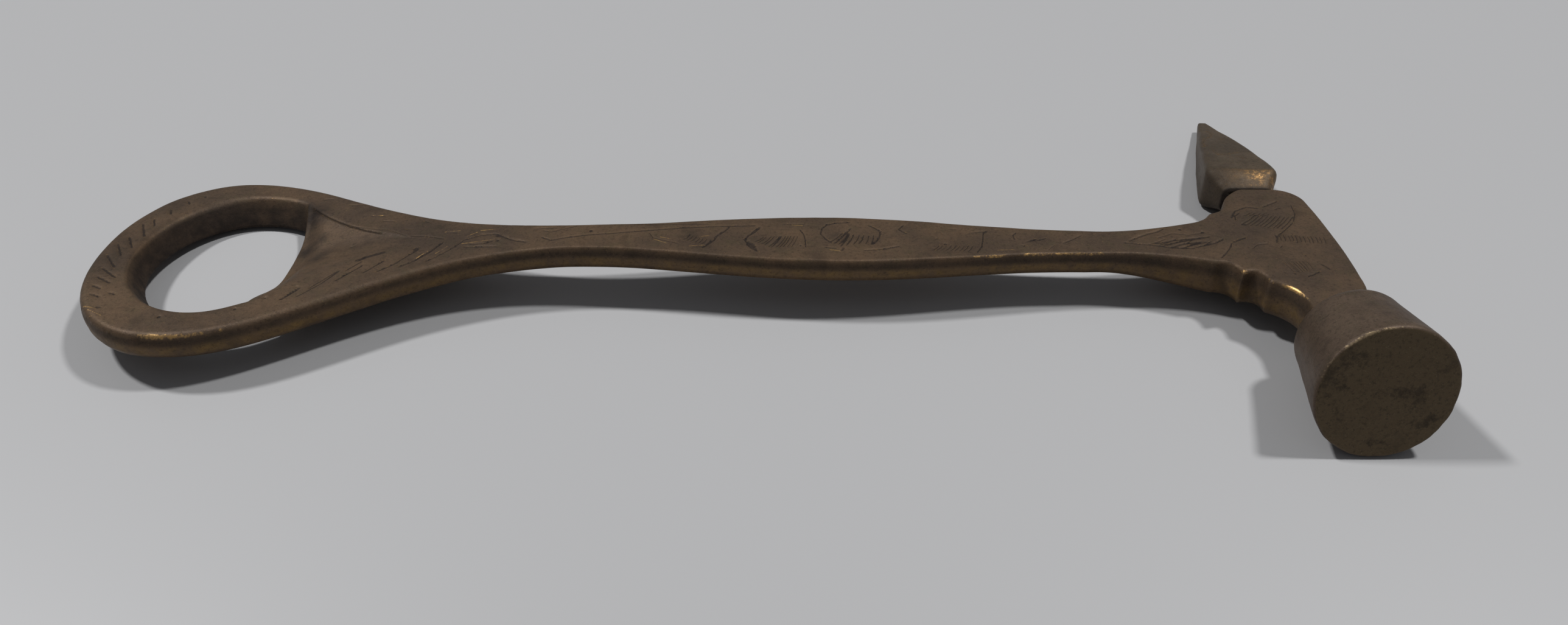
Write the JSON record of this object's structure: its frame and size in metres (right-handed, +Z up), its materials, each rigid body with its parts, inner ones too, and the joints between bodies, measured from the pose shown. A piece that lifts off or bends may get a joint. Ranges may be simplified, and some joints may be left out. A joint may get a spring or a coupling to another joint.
{
  "type": "bar hammer",
  "caption": "Cast brass bar hammer for ice: a round striking head and a four-sided pick on one head plate, with a slim engraved handle that ends in a cap-lifting loop.",
  "frame": {"origin": "On the surface that the hammer lies on, below the middle of its bounding box", "axes": "+X along the handle towards the head plate, +Y towards the pick's tip, +Z up; the hammer lies at rest on its striking head's rim, its pick and its loop"},
  "size_m": [0.2044, 0.0878, 0.0203],
  "materials": {
    "cast_brass_bar": "cast brass with a dark brown-olive patina, satin, worn golden along its edges",
    "turned_brass_head": "turned brass with a dark patina, satin, fine turning lines, worn rim",
    "cast_brass_pick": "filed brass with a brown patina, worn golden at its base",
    "brass_stud": "bare threaded brass rod, hidden"
  },
  "bodies": {
    "root": {"bar": "cast_brass_bar", "striking_head": "turned_brass_head", "ice_pick": "cast_brass_pick", "striking_head_stud": "brass_stud", "pick_stud": "brass_stud"}
  },
  "joints": []
}
